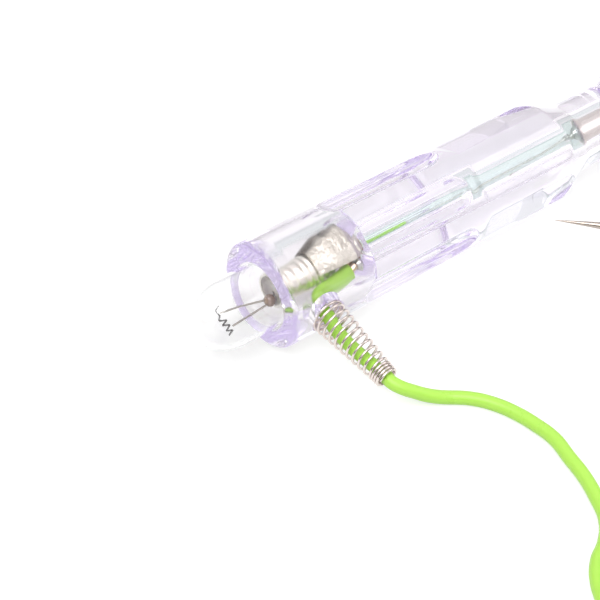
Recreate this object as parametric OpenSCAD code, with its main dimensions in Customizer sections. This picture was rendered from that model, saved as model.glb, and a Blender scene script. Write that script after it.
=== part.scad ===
// Test light: a clear moulded handle with a small lamp in its open rear end, a steel
// probe in its nose, and a lead that leaves through a coil spring and ends in a needle.
// X runs along the handle towards the probe, Z is up, and the lead leaves towards -Y.
// The origin is on the handle's axis, where the probe comes out of the nose.

/* [Handle] */
// Length from the rear face to the tip of the nose
handle_len = 92; // [84:0.5:100]
// Diameter over the collar and the lands
grip_d = 16.4; // [15.6:0.1:17.4]
// Plain round collar at the rear end
collar_len = 13.1; // [12.6:0.1:16]
// Finger flutes, from run-out to run-out
flute_len = 22.4; // [18:0.2:28]
// Depth of a flute at its middle
flute_depth = 1.3; // [0.8:0.1:1.4]
// Radius across a flute
flute_r = 4; // [3.6:0.1:4.6]
// Plain band between the flutes and the flats
band_len = 0.9; // [0.5:0.1:3]
// Depth of a flat below the round
flat_depth = 0.5; // [0.3:0.05:0.7]
// Sloping start of each flat
flat_run_in = 1.6; // [1:0.1:3]
// Cone from the grip down to the neck
taper_len = 5.8; // [4:0.1:9]
// Diameter of the neck
neck_d = 11.4; // [10:0.1:12.6]
// Length of the neck
neck_len = 9; // [6:0.5:14]
// Flare from the neck up to the guard
flare_len = 8.7; // [6:0.1:12]
// Rounded rim of the guard
guard_len = 1.6; // [1.2:0.1:3]
// Nose in front of the guard
nose_len = 10.9; // [7:0.1:16]
// Diameter at the tip of the nose
nose_d = 8; // [6.5:0.1:9]
// Number of flutes, and of flats
flutes = 6; // [6]
// Rounding of the rear rim
rim_round = 0.8; // [0.3:0.1:1.2]

/* [Lamp bore] */
// Bore behind the lamp, which holds its bracket
bore_d = 9.6; // [9.5:0.05:10]
// Depth of the lamp bore
bore_len = 16.6; // [16:0.1:20]
// Wider mouth of the bore, which guides the glass
mouth_d = 10.5; // [10.4:0.05:11]
// Straight stretch of the mouth
mouth_len = 1.2; // [0.8:0.1:1.6]
// Taper from the mouth down to the bore
mouth_taper = 2.8; // [2:0.1:3.4]
// Rounding of the mouth's edge
mouth_round = 0.4; // [0.2:0.05:0.6]
// Straight hole through the rest of the handle
channel_d = 3.9; // [3.6:0.1:4.4]

/* [Lamp] */
// Glass envelope
glass_d = 10.1; // [9.6:0.05:10.2]
// Glass that stands out of the handle
glass_proud = 11.5; // [9:0.5:15]
// Length of the domed end of the glass
dome_len = 6; // [4.8:0.1:7]
// Wall of the glass
glass_wall = 0.45; // [0.3:0.05:0.6]
// Cap of the lamp
cap_d = 5.4; // [5:0.05:5.4]
// Length of the metal cap
cap_len = 9.6; // [8.6:0.1:10.5]
// Sheet of the cap
cap_wall = 0.2; // [0.15:0.05:0.3]
// Insulator between the cap and the centre contact
insulator_len = 1; // [0.6:0.1:1.4]
// Centre contact of the lamp
tip_len = 1.2; // [0.8:0.1:1.6]
// Support wires and lead-in wires
support_d = 0.3; // [0.2:0.05:0.4]
// Coiled filament wire
filament_d = 0.2; // [0.14:0.02:0.26]
// Bead that holds the support wires apart
bead_d = 1.9; // [1.7:0.1:2.4]
// Length of the bead
bead_len = 1.7; // [1.4:0.1:1.8]
// Distance between the wires at the bead
wire_pitch = 0.8; // [0.7:0.05:0.9]
// Distance from the lamp's axis to the bead
bead_drop = 1.1; // [0:0.1:1.1]
// Cement behind the glass, inside the cap
cement_len = 1.6; // [1:0.1:3]
// Turn of the lamp about its axis
lamp_turn = 42; // [0:1:90]

/* [Lamp bracket] */
// Sheet of the bracket
bracket_t = 0.35; // [0.25:0.05:0.45]
// Length of the bracket along the handle
bracket_len = 7.2; // [6.4:0.1:8]
// Cone from the fork up to the shell
fork_slope = 2.5; // [1.5:0.1:3]
// Rounded fall of the shell towards the front plate
front_fall = 1; // [0.5:0.1:1.2]
// Window in the upper side of the shell, along the handle
window_len = 3.2; // [2:0.1:3.4]
// Width of the window
window_width = 3; // [2:0.1:3.4]
// Room between the bracket and the end of the bore
solder_room = 1.4; // [1.2:0.1:2]
// Distance from the axis to the open side's edge
gap_edge = 0.8; // [0.4:0.1:0.85]
// Direction of the open side, below the horizontal
gap_aim = 50; // [48:1:54]
// Fibre washers on both sides of the front plate
washer_t = 0.5; // [0.3:0.05:0.6]
// Diameter of the fibre washers
washer_d = 5.6; // [4.4:0.1:6.2]
// Head of the contact rivet
rivet_head_d = 4; // [3.8:0.1:4.4]
// Shank of the contact rivet
rivet_d = 1.4; // [1:0.1:1.8]
// Thickness of the rivet's head
rivet_head_t = 0.4; // [0.3:0.05:0.6]

/* [Lead] */
// Insulated lead
lead_d = 2; // [1.8:0.05:2]
// Bare strands of the lead
strand_d = 0.9; // [0.7:0.1:1]
// Distance from the rear face to the lead hole
hole_at = 6.2; // [5:0.1:6.6]
// Slope of the lead hole below the horizontal
hole_droop = 12.5; // [8:0.5:16]
// Stretch of the lead inside the bore, forward of the hole
lead_in = 6.4; // [5.5:0.1:6.6]
// Insulated link wire to the probe
link_d = 1.6; // [1.2:0.1:1.8]
// Insulated stretch of the link wire
link_len = 9; // [6:0.5:14]
// Bare copper of the link wire
copper_d = 0.8; // [0.5:0.05:0.9]

/* [Strain spring] */
// Outside diameter at the handle
spring_big_d = 5.6; // [5:0.1:5.8]
// Outside diameter at the free end
spring_small_d = 3.5; // [3.3:0.1:4.2]
// Spring wire
spring_wire = 0.42; // [0.34:0.02:0.46]
// Close turns seated in the handle
seat_turns = 4; // [3:1:4]
// Open turns
open_turns = 9.5; // [7:0.5:12]
// Close turns at the free end
end_turns = 4; // [3:1:5]
// Pitch of the open turns
open_pitch = 1.15; // [0.9:0.05:1.3]
// Depth of the spring's seat in the handle's wall
seat_depth = 2.45; // [2.2:0.05:2.6]

/* [Probe] */
// Shaft outside the handle
probe_d = 3; // [2.6:0.1:3.2]
// Length outside the handle
probe_out = 50; // [40:1:60]
// Length of the tapered point
point_len = 20; // [10:1:28]
// Length held inside the handle
probe_hold = 30; // [24:0.5:32]

/* [Needle] */
// Needle at the far end of the lead
needle_d = 2; // [1.6:0.1:2.2]
// Length outside its grip
needle_out = 18; // [16:0.5:24]
// Length of the sharp taper
needle_point = 13.6; // [10:0.2:14]
// Length held inside the grip
needle_hold = 12; // [8:0.5:16]
// Diameter of the grip
grip2_d = 5; // [4.6:0.1:6]
// Length of the grip
grip2_len = 34; // [28:0.5:40]

/* [Hidden] */

// Clearances: a push fit between seated pieces, and the smallest gap left round wires
fit = 0.05;
seat_gap = 0.1;
hole_gap = 0.35;
wire_gap = 0.03;
fn_round = 48;
fn_small = 24;

grip_r = grip_d / 2;
floor_z = -grip_r;

// Stations along the handle, measured from its rear face
rear = -handle_len;
flutes_end = collar_len + flute_len;
flats_start = flutes_end + band_len;
guard_end = handle_len - nose_len;
guard_start = guard_end - guard_len;
flare_start = guard_start - flare_len;
neck_start = flare_start - neck_len;
taper_start = neck_start - taper_len;
channel_r = channel_d / 2;
probe_tail = handle_len - probe_hold;

// Stations of the lamp's seat, from the end of the bore back to the rear
bracket_front = bore_len - solder_room;
bracket_rear = bracket_front - bracket_len;
bracket_r = bore_d / 2 - seat_gap;
window_aim = -117;
rivet_face = bracket_front - bracket_t - washer_t - rivet_head_t;
contact_end = rivet_face - fit;
insulator_end = contact_end - tip_len;
cap_end = insulator_end - insulator_len;
cap_start = cap_end - cap_len;
cap_r = cap_d / 2;
glass_r = glass_d / 2;
neck_glass_r = cap_r - cap_wall - 0.25;
glass_end = cap_start + 1.7;
press_len = 0.9;
shoulder_len = 1.5;
bead_mid = cap_start - 0.95;
rivet_end = bracket_front + washer_t + 0.3;

// The lead runs beside the cap, between the cap and the bore
lead_r = lead_d / 2;
lead_orbit = cap_r + fit + lead_r;
bend_r = 1.5 * lead_r;
seat_floor = grip_r - seat_depth;

// Turn number to distance from the handle's axis, and to radius, along the spring
close_pitch = spring_wire + 0.16;
end_pitch = spring_wire + 0.04;
seat_len = seat_turns * close_pitch;
open_len = open_turns * open_pitch;
spring_len = seat_len + open_len + end_turns * end_pitch;
spring_turns = seat_turns + open_turns + end_turns;
spring_root = seat_floor + spring_wire / 2;
spring_tip = spring_root + spring_len;
turn_steps = 14;

// Zigzag filament: distance behind the rear face, and place across the supports
FILAMENT = [[6.1, -1.5], [7, -1.1], [6.75, -0.2], [7.3, 0.4], [6.2, 0.8], [7.2, 1.2], [6.15, 1.6],
    [7.1, 2.1], [6.2, 2.4], [7.1, 2.8]];

// Route of the free lead, from the spring to the coil: distance from the rear face along
// the handle, y, and height above the surface
LEAD_ROUTE = [
    [6.2, -21.2, 3.5], [6.8, -22.6, 3.1], [8, -23.8, 2.5], [10, -25.2, 1.5], [12.5, -27, 1],
    [14.5, -29, 1], [16, -31.5, 1], [17, -34.5, 1], [17.5, -38, 1], [17.5, -41.5, 1],
    [16.5, -45, 1], [15.5, -48.5, 1], [14, -52, 1], [12, -55.5, 1], [9, -58, 1],
    [6, -59.5, 1], [3.8, -61.5, 1], [2.1, -64, 1], [0.9, -66.6, 1]];
// Route from the coil to the needle's grip
TAIL_ROUTE = [
    [12, -94.1, 1], [17.5, -94, 1], [24, -93, 1], [31, -90.8, 1], [38, -87.8, 1],
    [45, -84.5, 1], [53, -81.2, 1], [62, -78.5, 1], [71, -76, 1], [79, -72.5, 1], [85, -68, 1],
    [88.5, -62.5, 1.2], [88.5, -57, 1.8], [86.8, -52.8, 2.3]];
coil_x = 12;
coil_y = -78;
coil_mid_r = 12;
coil_rows = 3;
needle_tip = [51.4, -8.9];
needle_yaw = -51;
grip2_r = grip2_d / 2;
grip2_end = needle_out + grip2_len;

function unit(v) = v / norm(v);
function heading(path, i) = unit(path[min(i + 1, len(path) - 1)] - path[max(i - 1, 0)]);
// A point beside the axis: station, distance from the axis, angle below the lead's side
function around(station, r, angle) = [rear + station, -r * cos(angle), -r * sin(angle)];
function needle_point_at(d) =
    [rear + needle_tip[0] + d * cos(needle_yaw), needle_tip[1] + d * sin(needle_yaw), floor_z + grip2_r];
function on_surface(route) = [for (p = route) [rear + p[0], p[1], floor_z + p[2]]];
// Points on a quarter or less of an ellipse, for turned profiles
function arc(cx, cy, rx, ry, from, to, steps) =
    [for (k = [0 : steps]) let (a = from + (to - from) * k / steps) [cx + rx * cos(a), cy + ry * sin(a)]];

// Turns a profile of [radius, station] about the handle's axis
module turned(profile, fn = fn_round) {
    translate([rear, 0, 0])
        rotate([0, 90, 0])
            rotate_extrude($fn = fn)
                polygon(profile);
}

// Sweeps a round wire along a path
module wire(path, radius, sides, ref = [0, 0, 1]) {
    n = len(path);
    rings = [for (i = [0 : n - 1])
        let (t = heading(path, i), a = unit(cross(t, ref)), b = cross(a, t))
        for (k = [0 : sides - 1])
            path[i] + radius * (cos(360 * k / sides) * a + sin(360 * k / sides) * b)];
    start_cap = [for (k = [sides - 1 : -1 : 0]) k];
    end_cap = [for (k = [0 : sides - 1]) (n - 1) * sides + k];
    walls = [for (i = [0 : n - 2]) for (k = [0 : sides - 1])
        let (q = (k + 1) % sides, a = i * sides)
        for (f = [[a + k, a + q, a + sides + q], [a + k, a + sides + q, a + sides + k]]) f];
    polyhedron(points = rings, faces = concat([start_cap, end_cap], walls), convexity = 10);
}

// Places children on the lead hole's line, their Z pointing out of the handle
module on_hole_line() {
    translate([rear + hole_at, 0, 0])
        rotate([90 + hole_droop, 0, 0])
            children();
}

// Places children on the needle's line, their X pointing from its tip to its grip
module on_needle_line() {
    translate([rear + needle_tip[0], needle_tip[1], floor_z + grip2_r])
        rotate([0, 0, needle_yaw])
            children();
}

module around_handle() {
    for (i = [0 : flutes - 1])
        rotate([hole_droop + i * 360 / flutes, 0, 0])
            children();
}

module handle_blank() {
    neck_r = neck_d / 2;
    turned(concat(
        [[0, 0], [grip_r - rim_round, 0]],
        arc(grip_r - rim_round, rim_round, rim_round, rim_round, -60, 0, 4),
        [[grip_r, taper_start], [neck_r + 0.1, neck_start], [neck_r, flare_start]],
        arc(grip_r, flare_start, grip_r - neck_r, flare_len, 165, 105, 5),
        [[grip_r, guard_start], [grip_r, guard_start + guard_len / 2], [grip_r - 0.9, guard_end],
        [nose_d / 2 + 0.6, guard_end + 1.2], [nose_d / 2, handle_len - 0.6],
        [nose_d / 2 - 0.6, handle_len], [0, handle_len]]), 72);
}

// One finger flute: a round cutter with ball ends that run out to the surface
module flute_cut() {
    reach = grip_r - flute_depth + flute_r;
    run_out = sqrt(pow(flute_r, 2) - pow(flute_r - flute_depth, 2));
    first = rear + collar_len + run_out;
    length = flute_len - 2 * run_out;
    translate([first, -reach, 0]) {
        rotate([0, 90, 0])
            cylinder(h = length, r = flute_r, $fn = fn_round);
        sphere(r = flute_r, $fn = fn_round);
        translate([length, 0, 0])
            sphere(r = flute_r, $fn = fn_round);
    }
}

// One flat, with a sloping start
module flat_cut() {
    out = 1;
    translate([rear, 0, 0])
        linear_extrude(height = grip_d, center = true)
            polygon([[flats_start, -grip_r - 0.1], [flats_start + flat_run_in, flat_depth - grip_r],
                [neck_start, flat_depth - grip_r], [neck_start, -grip_r - out],
                [flats_start, -grip_r - out]]);
}

module lamp_bore() {
    r = bore_d / 2;
    m = mouth_d / 2;
    turned(concat(
        [[0, -1], [m + mouth_round, -1]],
        arc(m + mouth_round, mouth_round, mouth_round, mouth_round, 270, 180, 3),
        [[m, mouth_len], [r, mouth_len + mouth_taper], [r, bore_len], [0, bore_len]]));
}

// Hole for the lead, and the spring's round seat outside it
module lead_hole() {
    on_hole_line() {
        translate([0, 0, bore_d / 2 - 1])
            cylinder(h = seat_floor - bore_d / 2 + 1.2, r = lead_r + hole_gap, $fn = fn_round);
        translate([0, 0, seat_floor])
            cylinder(h = seat_depth + 1, d = spring_big_d + 2 * seat_gap, $fn = fn_round);
    }
}

module handle() {
    color("lavender", 0.4)
        difference() {
            handle_blank();
            around_handle() flute_cut();
            around_handle() flat_cut();
            lamp_bore();
            lead_hole();
            translate([rear + bore_len - 1, 0, 0])
                rotate([0, 90, 0])
                    cylinder(h = handle_len - bore_len + 2, d = channel_d, $fn = fn_round);
        }
}

// Steel shaft: a pushed-in tail with a cup for the link wire, then the bare probe
module probe_shaft() {
    r = probe_d / 2;
    tail_r = channel_r - fit;
    cup_r = copper_d / 2 + fit;
    straight = probe_out - point_len;
    color("silver")
        turned([[cup_r, probe_tail], [tail_r - 0.4, probe_tail], [tail_r, probe_tail + 0.4],
            [tail_r, handle_len - fit], [r, handle_len], [r, handle_len + straight],
            [0.08, handle_len + probe_out], [0, handle_len + probe_out], [0, probe_tail + 2.5],
            [cup_r, probe_tail + 2.5]]);
}

module probe_solder() {
    bore = copper_d / 2 + 0.02;
    color("lightgray")
        turned([[bore, probe_tail - 1.4], [bore + 0.25, probe_tail - 1.4], [1, probe_tail - 0.5],
            [1.25, probe_tail - 0.02], [bore, probe_tail - 0.02]], fn_small);
}

// Blown envelope, open to the vacuum inside, closed at the neck where the wires leave
module lamp_glass() {
    dome = -glass_proud + dome_len;
    shoulder = cap_start - shoulder_len;
    press = glass_end - press_len;
    color("white", 0.3)
        difference() {
            turned(concat(
                arc(0, dome, glass_r, dome_len, -90, 0, 10),
                shoulder_curve(glass_r, neck_glass_r, shoulder),
                [[neck_glass_r, glass_end], [0, glass_end]]));
            turned(concat(
                arc(0, dome, glass_r - glass_wall, dome_len - glass_wall, -90, 0, 10),
                shoulder_curve(glass_r - glass_wall, neck_glass_r - glass_wall, shoulder - glass_wall / 2),
                [[neck_glass_r - glass_wall, press], [0, press]]));
            for (side = [-1, 1])
                support_hole(side * wire_pitch / 2, press - 0.5, glass_end + 0.5);
        }
}

function shoulder_curve(wide, narrow, from) = concat(
    arc(wide - 1.2, from, 1.2, 0.9, 0, 90, 4),
    [[narrow, from + shoulder_len - 0.1]]);

// Round hole along the handle for one support wire, at this place across the lamp
module support_hole(across, from, to) {
    translate([rear + from, 0, 0])
        rotate([lamp_turn, 0, 0])
            translate([0, across, 0])
                rotate([0, 90, 0])
                    cylinder(h = to - from, d = support_d + 0.06, $fn = fn_small);
}

// The bead hangs below the lamp's axis, where the two wires are bent to
module lamp_bead() {
    color("saddlebrown")
        difference() {
            rotate([lamp_turn, 0, 0])
                translate([0, -bead_drop, 0])
                    turned(arc(0, bead_mid, bead_d / 2, bead_len / 2, -90, 90, 10), fn_small);
            for (side = [-1, 1])
                support_hole(side * wire_pitch / 2 - bead_drop, bead_mid - bead_len, bead_mid + bead_len);
        }
}

// A support wire runs through press and bead, then spreads towards the filament: its far
// points are given as distance behind the rear face and place across the lamp
module support_wire(side, far) {
    at_press = side * wire_pitch / 2;
    at_bead = at_press - bead_drop;
    half = bead_len / 2;
    color("dimgray")
        rotate([lamp_turn, 0, 0])
            wire(concat([[rear + glass_end, at_press, 0], [rear + glass_end - press_len - 0.15, at_press, 0],
                [rear + bead_mid + half + 0.1, at_bead, 0], [rear + bead_mid, at_bead, 0],
                [rear + bead_mid - half - 0.2, at_bead, 0]],
                [for (p = far) [rear - p[0], p[1], 0]]), support_d / 2, 8);
}

module support_wire_upper() {
    support_wire(1, [[3.6, 0.1], [6.6, 0.5]]);
}

module support_wire_lower() {
    support_wire(-1, [[5.8, -1.9]]);
}

module filament() {
    color("gray")
        rotate([lamp_turn, 0, 0])
            wire([for (p = FILAMENT) [rear - p[0], -p[1], 0.12 * (p[1] - 0.9)]], filament_d / 2, 6);
}

// Thin screw cap, with its rolled thread as four round ridges
module lamp_cap() {
    root = cap_r - 0.2;
    inside = cap_r - cap_wall - 0.2;
    thread_from = cap_start + 1.6;
    pitch = 1.3;
    ridges = 4;
    color("silver")
        turned(concat(
            [[inside, cap_start], [cap_r, cap_start], [cap_r, cap_start + 0.8], [root, cap_start + 1.1]],
            [for (k = [0 : ridges - 1]) for (q = [[0, 0], [0.35, 0.14], [0.65, 0.2], [0.95, 0.14]])
                [root + q[1], thread_from + k * pitch + q[0]]],
            [[root, thread_from + ridges * pitch], [root, cap_end - 0.4], [root - 0.4, cap_end],
            [inside - 0.4, cap_end], [inside, cap_end - 0.6]]));
}

// Cement that holds the glass in the cap
module cap_cement() {
    from = glass_end + fit;
    color([0.85, 0.78, 0.66])
        turned([[0, from], [neck_glass_r, from], [neck_glass_r, from + cement_len - 0.3],
            [neck_glass_r - 0.6, from + cement_len], [0, from + cement_len]], fn_small);
}

module cap_insulator() {
    r = cap_r - 0.6;
    color([0.08, 0.08, 0.1])
        turned([[0, cap_end], [r, cap_end], [r - 0.2, cap_end + 0.4], [1.15, insulator_end],
            [0, insulator_end]], fn_small);
}

module cap_contact() {
    color("lightgray")
        turned([[0, insulator_end], [1.05, insulator_end], [0.95, insulator_end + 0.5],
            [0.6, contact_end - 0.15], [0, contact_end]], fn_small);
}

// Bent sheet bracket: a fork that grips the cap, a cone, a half shell and a front plate
module lamp_bracket() {
    r = bracket_r;
    t = bracket_t;
    fork = cap_r + fit;
    plate_hole = rivet_d / 2 + 1.2;
    shell = bracket_rear + fork_slope;
    fall = bracket_front - front_fall - 0.3;
    color([0.83, 0.78, 0.7])
        difference() {
            turned([[fork, bracket_rear], [fork + t, bracket_rear], [r - 0.4, shell],
                [r, fall - 0.6], [r, fall], [r - front_fall, bracket_front], [plate_hole, bracket_front],
                [plate_hole, bracket_front - t], [r - front_fall - t / 2, bracket_front - t],
                [r - t, fall - t / 2], [r - t, fall - 0.6], [r - 0.4 - t, shell + 0.1],
                [fork, bracket_rear + 0.2]]);
            rotate([gap_aim, 0, 0])
                translate([rear + bracket_rear - 1, -gap_edge - bore_d, -bore_d])
                    cube([bracket_len + 2, bore_d, 2 * bore_d]);
            rotate([window_aim, 0, 0])
                translate([rear + shell + 0.3, -bore_d, -window_width / 2])
                    cube([window_len, bore_d - washer_d / 2 - 0.5, window_width]);
        }
}

module fibre_washer(from) {
    color("peru")
        turned([[rivet_d / 2 + fit, from], [washer_d / 2, from], [washer_d / 2, from + washer_t],
            [rivet_d / 2 + fit, from + washer_t]]);
}

module inner_washer() {
    fibre_washer(bracket_front - bracket_t - washer_t);
}

module outer_washer() {
    fibre_washer(bracket_front);
}

// Headed rivet, peened over the outer washer
module contact_rivet() {
    head = rivet_head_d / 2;
    shank = rivet_d / 2;
    from = rivet_face;
    peened = bracket_front + washer_t;
    color("goldenrod")
        turned([[0, from], [head - 0.15, from], [head, from + 0.15], [head, from + rivet_head_t],
            [shank, from + rivet_head_t], [shank, peened], [shank + 0.5, peened],
            [shank + 0.4, rivet_end], [0, rivet_end]], fn_small);
}

module link_solder() {
    bore = copper_d / 2 + 0.02;
    color("lightgray")
        turned([[bore, rivet_end], [1.15, rivet_end], [0.95, rivet_end + 0.3], [bore + 0.15, rivet_end + 0.6],
            [bore, rivet_end + 0.6]], fn_small);
}

// The link wire starts in the middle, lies on the bottom of the channel, and rises into the probe
link_start = rivet_end + 1.7;
link_end = link_start + link_len;
link_low = link_d / 2 + wire_gap - channel_r;
bare_low = copper_d / 2 + wire_gap - channel_r;
insulated_path = [for (p = [[0, link_low * 0.5], [2.5, link_low], [link_len, link_low]])
    [rear + link_start + p[0], 0, p[1]]];
before_link = insulated_path[0] - 0.4 * unit(insulated_path[1] - insulated_path[0]);
after_link = insulated_path[2] + [0.4, 0, 0];
module link_insulation() {
    color([0.45, 0.85, 0.1])
        difference() {
            wire(insulated_path, link_d / 2, 12);
            wire(concat([before_link], insulated_path, [after_link]), copper_d / 2 + fit, 12);
        }
}

module link_wire() {
    color([0.85, 0.55, 0.4])
        wire(concat(
            [[rear + rivet_end + 0.05, 0, 0], [rear + rivet_end + 0.85, 0, 0], before_link],
            insulated_path,
            [after_link, [rear + link_end + 3, 0, bare_low], [rear + probe_tail - 6, 0, bare_low],
            [rear + probe_tail - 1.5, 0, 0], [rear + probe_tail + 2.2, 0, 0]]), copper_d / 2, 8);
}

// How far the lead lies to one side inside the wide part of the spring
spring_neck = spring_tip - 1.2;
function slack(f) = sin(180 * pow(f, 0.7));
lead_out_path = concat([[0, 0, spring_tip]],
    [for (f = [1 : -0.125 : 0]) [-0.55 * slack(f), -0.35 * slack(f), grip_r + f * (spring_neck - grip_r)]],
    [[0, 0, lead_orbit + bend_r + 0.8]]);
lead_bend = [for (a = [0, 30, 60, 90])
    [bend_r * (1 - cos(a)), 0, lead_orbit + bend_r * (1 - sin(a))]];
lead_climb = 20;
lead_rise = [for (f = [0.35, 0.7, 0.95, 1])
    around(hole_at + bend_r + (lead_in - bend_r) * f, lead_orbit, hole_droop - lead_climb * min(1, f / 0.95))];
function from_hole(p) =
    [rear + hole_at + p[0], -p[2] * cos(hole_droop) - p[1] * sin(hole_droop),
    -p[2] * sin(hole_droop) + p[1] * cos(hole_droop)];
module lead_inner() {
    color([0.5, 0.88, 0.05])
        wire(concat([for (p = concat(lead_out_path, lead_bend)) from_hole(p)], lead_rise), lead_r, 10);
}

// Stripped end of the lead, turned up to the bracket's edge and soldered there
strip_from = hole_at + lead_in;
strip_angle = hole_droop - lead_climb;
joint_r = 0.9;
joint_len = 1.1;
joint_at = bracket_front - bracket_t - fit - joint_len / 2;
joint_orbit = bore_d / 2 - fit - joint_r;
joint_angle = gap_aim - acos(gap_edge / (bracket_r - bracket_t)) + 15;
module lead_strands() {
    color([0.85, 0.55, 0.4])
        wire([around(strip_from + 0.02, lead_orbit, strip_angle),
            around(strip_from + 0.25, lead_orbit, strip_angle),
            around(joint_at - joint_len / 2 - 0.45, (lead_orbit + joint_orbit) / 2, (strip_angle + joint_angle) / 2),
            around(joint_at - joint_len / 2 - 0.1, joint_orbit, joint_angle),
            around(joint_at, joint_orbit, joint_angle),
            around(joint_at + joint_len / 2, joint_orbit, joint_angle)], strand_d / 2, 8);
}

module lead_solder() {
    bore = strand_d / 2 + 0.03;
    half = joint_len / 2;
    color("lightgray")
        translate(around(joint_at, joint_orbit, joint_angle))
            rotate([0, 90, 0])
                rotate_extrude($fn = fn_small)
                    polygon([[bore, -half], [bore + 0.1, -half], [joint_r - 0.12, -0.25], [joint_r, 0],
                        [joint_r - 0.12, 0.25], [bore + 0.1, half], [bore, half]]);
}

function turn_height(n) =
    n < seat_turns ? n * close_pitch
    : n < seat_turns + open_turns ? seat_len + (n - seat_turns) * open_pitch
    : seat_len + open_len + (n - seat_turns - open_turns) * end_pitch;
function turn_radius(z) =
    let (start = seat_len, run = spring_len - seat_len, f = max(0, (z - start) / run))
    ((1 - f) * spring_big_d + f * spring_small_d - spring_wire) / 2;
module strain_spring() {
    path = [for (k = [0 : spring_turns * turn_steps])
        let (n = k / turn_steps, z = turn_height(n), r = turn_radius(z))
        [r * cos(360 * n), r * sin(360 * n), spring_root + z]];
    color("silver")
        on_hole_line()
            wire(path, spring_wire / 2, 6);
}

module lead() {
    color([0.5, 0.88, 0.05])
        wire(concat([from_hole([0, 0, spring_tip + 0.02])], on_surface(LEAD_ROUTE)), lead_r, 8);
}

// Outline of the coiled length: its turns lie in three rows, three high
module lead_coil() {
    half = coil_rows * lead_d / 2;
    soft = lead_d / 2;
    color([0.5, 0.88, 0.05])
        translate([rear + coil_x, coil_y, floor_z])
            rotate_extrude($fn = fn_round)
                polygon([[coil_mid_r - half + soft, 0], [coil_mid_r + half - soft, 0],
                    [coil_mid_r + half, soft], [coil_mid_r + half, 2 * half - soft],
                    [coil_mid_r + half - soft, 2 * half], [coil_mid_r - half + soft, 2 * half],
                    [coil_mid_r - half, 2 * half - soft], [coil_mid_r - half, soft]]);
}

module lead_tail() {
    color([0.5, 0.88, 0.05])
        wire(concat(on_surface(TAIL_ROUTE),
            [needle_point_at(grip2_end + 1.5), needle_point_at(grip2_end + 0.02)]), lead_r, 8);
}

// Moulded grip with three ribs and a tapered end that the lead goes into
module needle_grip() {
    rib = 0.35;
    body = grip2_r - rib;
    ribs_at = needle_out + grip2_len * 0.3;
    rib_pitch = 2.6;
    ribs_end = ribs_at + 3.5 * rib_pitch;
    end_len = 6;
    color([0.5, 0.85, 0.1])
        on_needle_line()
            rotate([0, 90, 0])
                rotate_extrude($fn = fn_round)
                    polygon(concat(
                        [[needle_d / 2 + 0.02, needle_out], [body - 0.7, needle_out],
                        [body, needle_out + 3]],
                        [for (k = [0 : 2]) for (q = [[0, 0], [0.4, rib], [1.2, rib], [1.6, 0]])
                            [body + q[1], ribs_at + rib_pitch * k + q[0]]],
                        [[body, ribs_end], [lead_r + 0.6, grip2_end - end_len], [lead_r + 0.25, grip2_end],
                        [0, grip2_end], [0, needle_out + needle_hold],
                        [needle_d / 2 + 0.02, needle_out + needle_hold]]));
}

module needle() {
    r = needle_d / 2;
    color("silver")
        on_needle_line()
            rotate([0, 90, 0])
                rotate_extrude($fn = fn_small)
                    polygon([[0, 0], [0.04, 0], [r, needle_point], [r, needle_out + needle_hold - 0.3],
                        [r - 0.25, needle_out + needle_hold - 0.05], [0, needle_out + needle_hold - 0.05]]);
}

handle();
probe_shaft();
probe_solder();
lamp_glass();
lamp_bead();
support_wire_upper();
support_wire_lower();
filament();
lamp_cap();
cap_cement();
cap_insulator();
cap_contact();
lamp_bracket();
inner_washer();
outer_washer();
contact_rivet();
link_solder();
link_insulation();
link_wire();
lead_inner();
lead_strands();
lead_solder();
strain_spring();
lead();
lead_coil();
lead_tail();
needle_grip();
needle();
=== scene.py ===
import math

import bmesh
import bpy
from mathutils import Matrix, Vector


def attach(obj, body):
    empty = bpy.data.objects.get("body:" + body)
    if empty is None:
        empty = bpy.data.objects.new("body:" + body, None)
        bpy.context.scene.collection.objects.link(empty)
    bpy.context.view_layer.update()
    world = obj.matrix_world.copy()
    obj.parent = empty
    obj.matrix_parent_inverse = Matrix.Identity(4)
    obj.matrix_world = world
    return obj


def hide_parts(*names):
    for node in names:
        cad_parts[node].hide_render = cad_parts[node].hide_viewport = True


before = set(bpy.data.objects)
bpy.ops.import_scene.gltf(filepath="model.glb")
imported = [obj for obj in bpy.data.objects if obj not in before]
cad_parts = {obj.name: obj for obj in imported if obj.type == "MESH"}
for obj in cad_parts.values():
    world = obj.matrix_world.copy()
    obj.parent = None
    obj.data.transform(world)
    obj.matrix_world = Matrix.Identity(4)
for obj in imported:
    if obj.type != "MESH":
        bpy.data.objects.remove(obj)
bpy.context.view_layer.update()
scene = bpy.context.scene
MM = 0.001

# The photograph's view: a long lens that looks down on the rear end of the tester,
# with the collar at the left and the lead running off to the right.
VIEW_AZIMUTH = math.radians(-39.34)
VIEW_ELEVATION = math.radians(40.02)
VIEW_DISTANCE = 220.92 * MM
VIEW_AIM = Vector((-83.38, 1.40, -6.05)) * MM
lens = bpy.data.cameras.new("view")
lens.lens = 90
lens.sensor_width = 36
lens.clip_start = 0.01
camera = bpy.data.objects.new("view", lens)
camera.matrix_world = (
    Matrix.Translation(VIEW_AIM)
    @ Matrix.Rotation(VIEW_AZIMUTH, 4, "Z")
    @ Matrix.Rotation(math.pi / 2 - VIEW_ELEVATION, 4, "X")
    @ Matrix.Translation((0, 0, VIEW_DISTANCE))
)
scene.collection.objects.link(camera)
scene.camera = camera
scene.view_settings.view_transform = "Standard"
scene.cycles.max_bounces = 40
scene.cycles.transmission_bounces = 40
scene.cycles.glossy_bounces = 40

# A white sweep under soft light. The camera sees white all round, metal and clear plastic
# also show a darker far side low down, and the light that falls on the object stays plain.
FLOOR_Z = -8.2 * MM
SKY_LIGHT = 0.62
world = bpy.data.worlds.new("studio")
scene.world = world
world.use_nodes = True
sky = world.node_tree
sky.nodes.clear()


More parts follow.
